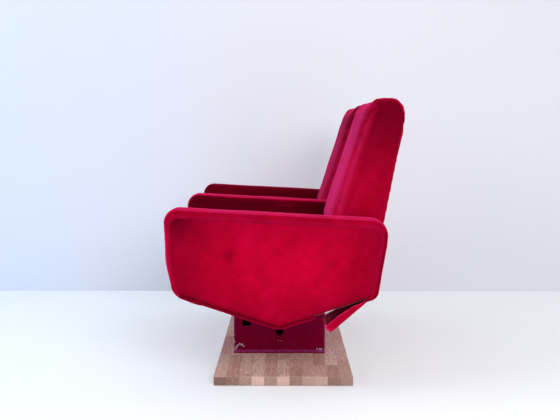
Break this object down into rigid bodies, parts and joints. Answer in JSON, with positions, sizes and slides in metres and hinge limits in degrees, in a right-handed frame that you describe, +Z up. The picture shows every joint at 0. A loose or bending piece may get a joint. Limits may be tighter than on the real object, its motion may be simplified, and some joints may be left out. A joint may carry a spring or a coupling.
{
  "type": "tip up auditorium seat pair",
  "caption": "Velvet tip up auditorium seats joined side by side between upholstered arms on a painted steel pedestal; each seat tips up on its own hinge pins.",
  "frame": {"origin": "floor level under the middle of the base board", "axes": "+X along the row towards the left arm of a sitter, -Y the way the seats face, +Z up"},
  "size_m": [1.15, 0.7148, 0.902],
  "materials": {
    "velvet": "matte",
    "worn_velvet": "matte",
    "butcher_block": "satin",
    "plywood": "matte",
    "stained_plywood": "satin",
    "underlay": "matte",
    "pedestal_paint": "gloss",
    "frame_paint": "satin",
    "zinc_steel": "satin",
    "buffer_rubber": "matte",
    "nylon": "satin"
  },
  "bodies": {
    "frame": {"base_underlay": "underlay", "base_board": "butcher_block", "foot_screws": "zinc_steel", "pedestal_left_end": "pedestal_paint", "pedestal_right_end": "pedestal_paint", "pedestal_front_cover": "pedestal_paint", "pedestal_rear_cover": "pedestal_paint", "pedestal_corner_angles": "pedestal_paint", "cover_screws": "zinc_steel", "pedestal_top_plate": "pedestal_paint", "cross_beam": "frame_paint", "beam_straps": "frame_paint", "strap_bolts": "zinc_steel", "beam_end_plates": "frame_paint", "end_plate_bolts": "zinc_steel", "end_plate_nuts": "zinc_steel", "middle_arm_cleats": "frame_paint", "cleat_bolts": "zinc_steel", "cleat_nuts": "zinc_steel", "left_arm_loose_strip": "worn_velvet", "back_brackets": "frame_paint", "bracket_arm_screws": "zinc_steel", "bracket_board_screws": "zinc_steel", "left_arm_core": "plywood", "left_arm_border": "velvet", "left_arm_left_panel": "velvet", "left_arm_right_panel": "velvet", "middle_arm_core": "plywood", "middle_arm_border": "velvet", "middle_arm_left_panel": "velvet", "middle_arm_right_panel": "velvet", "right_arm_core": "plywood", "right_arm_border": "velvet", "right_arm_left_panel": "velvet", "right_arm_right_panel": "velvet", "left_seat_carriers": "frame_paint", "left_seat_buffers": "buffer_rubber", "left_hinge_pins": "zinc_steel", "left_pin_clips": "zinc_steel", "left_back_cushion": "velvet", "left_back_board": "plywood", "left_back_cover": "velvet", "right_seat_carriers": "frame_paint", "right_seat_buffers": "buffer_rubber", "right_hinge_pins": "zinc_steel", "right_pin_clips": "zinc_steel", "right_back_cushion": "velvet", "right_back_board": "plywood", "right_back_cover": "velvet"},
    "left_seat": {"left_seat_pan": "stained_plywood", "left_seat_cushion": "velvet", "left_hinge_plates": "frame_paint", "left_hinge_bushes": "nylon", "left_hinge_screws": "zinc_steel"},
    "right_seat": {"right_seat_pan": "stained_plywood", "right_seat_cushion": "velvet", "right_hinge_plates": "frame_paint", "right_hinge_bushes": "nylon", "right_hinge_screws": "zinc_steel"}
  },
  "joints": [
    {"name": "left_seat_hinge", "type": "hinge", "parent": "frame", "child": "left_seat", "pos_m": [0.27, 0.015, 0.292], "axis": [-1, 0, 0], "range_deg": [0, 68]},
    {"name": "right_seat_hinge", "type": "hinge", "parent": "frame", "child": "right_seat", "pos_m": [-0.27, 0.015, 0.292], "axis": [-1, 0, 0], "range_deg": [0, 68]}
  ]
}
